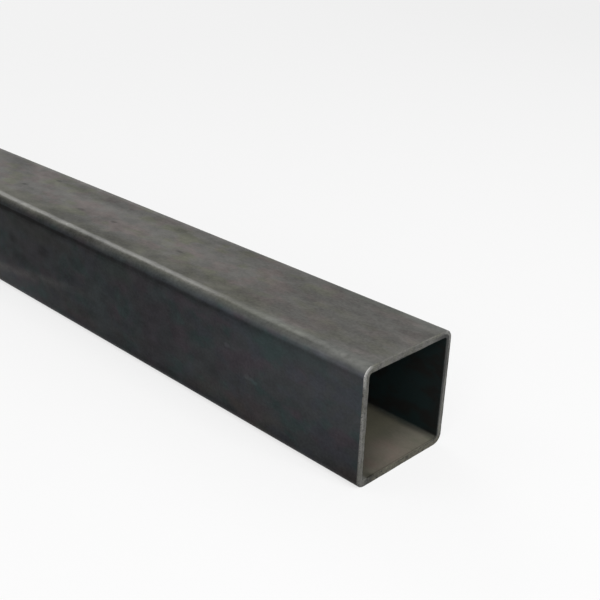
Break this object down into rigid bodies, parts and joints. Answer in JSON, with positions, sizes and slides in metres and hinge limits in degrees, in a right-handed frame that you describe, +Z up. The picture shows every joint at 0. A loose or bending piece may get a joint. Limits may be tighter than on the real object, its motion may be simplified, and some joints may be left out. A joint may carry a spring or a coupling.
{
  "type": "square metal tube",
  "caption": "Length of square steel hollow section with rolled round corners, an open bore, a low weld bead inside and deburred sawn ends.",
  "frame": {"origin": "middle of the tube's length and width, on the face that it lies on", "axes": "+X along the tube towards the end that the picture shows, +Z up, -Y towards the side that the picture shows, whose inside carries the weld bead"},
  "size_m": [1, 0.05, 0.05],
  "materials": {
    "rolled_steel": "satin"
  },
  "bodies": {
    "root": {"square_tube": "rolled_steel"}
  },
  "joints": []
}
